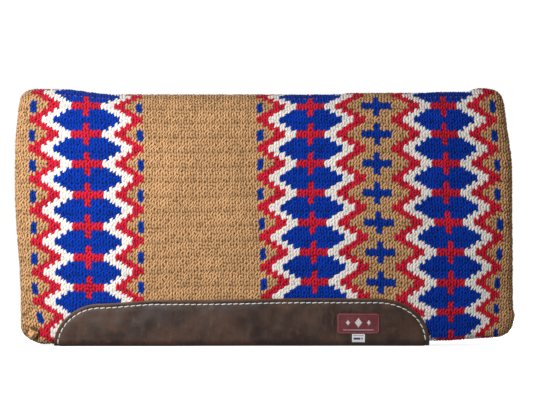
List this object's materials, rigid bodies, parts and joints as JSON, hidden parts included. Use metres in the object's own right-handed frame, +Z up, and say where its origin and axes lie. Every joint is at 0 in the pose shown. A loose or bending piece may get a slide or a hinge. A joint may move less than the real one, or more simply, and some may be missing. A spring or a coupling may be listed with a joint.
{
  "type": "saddle pad",
  "caption": "Western saddle pad: woven wool top, foam core and felt liner folded over the spine, with wear leather wrapped round both lower edges.",
  "frame": {"origin": "middle of the bounding box's footprint, on the plane that both wear leathers stand on", "axes": "+X along the spine towards the rear end of the pad, so -X is the withers end; +Y to the off (right) side, so the near side with the label faces -Y; +Z up"},
  "size_m": [0.813, 0.1824, 0.4179],
  "materials": {
    "woven_wool": "thick hand-woven wool, tan ground with blue, white and red diamonds",
    "foam": "closed-cell foam sheet, hidden inside",
    "felt": "pressed wool felt, matt",
    "wear_leather": "oiled dark brown leather, mottled, half matt",
    "thread": "waxed off-white thread",
    "label_leather": "maroon leather, satin",
    "label_thread": "dusty pink thread",
    "ribbon": "white satin ribbon"
  },
  "bodies": {
    "spine": {"spine_woven_top": "woven_wool", "spine_foam_core": "foam", "spine_felt_liner": "felt", "near_spine_stitching": "thread", "off_spine_stitching": "thread", "spine_front_hem_seam": "thread", "spine_rear_hem_seam": "thread"},
    "near_side": {"near_woven_top": "woven_wool", "near_foam_core": "foam", "near_felt_liner": "felt", "near_wear_leather": "wear_leather", "near_leather_stitching": "thread", "near_corner_knot": "woven_wool", "near_front_hem_seam": "thread", "near_rear_hem_seam": "thread", "maker_label": "label_leather", "label_stitching": "label_thread", "ribbon_tag": "ribbon"},
    "off_side": {"off_woven_top": "woven_wool", "off_foam_core": "foam", "off_felt_liner": "felt", "off_wear_leather": "wear_leather", "off_leather_stitching": "thread", "off_corner_knot": "woven_wool", "off_front_hem_seam": "thread", "off_rear_hem_seam": "thread"}
  },
  "joints": [
    {"name": "near_side_fold", "type": "hinge", "parent": "spine", "child": "near_side", "pos_m": [0, -0.02998, 0.40584], "axis": [-1, 0, 0], "range_deg": [-7, 40]},
    {"name": "off_side_fold", "type": "hinge", "parent": "spine", "child": "off_side", "pos_m": [0, 0.02998, 0.40584], "axis": [1, 0, 0], "range_deg": [-7, 40]}
  ]
}
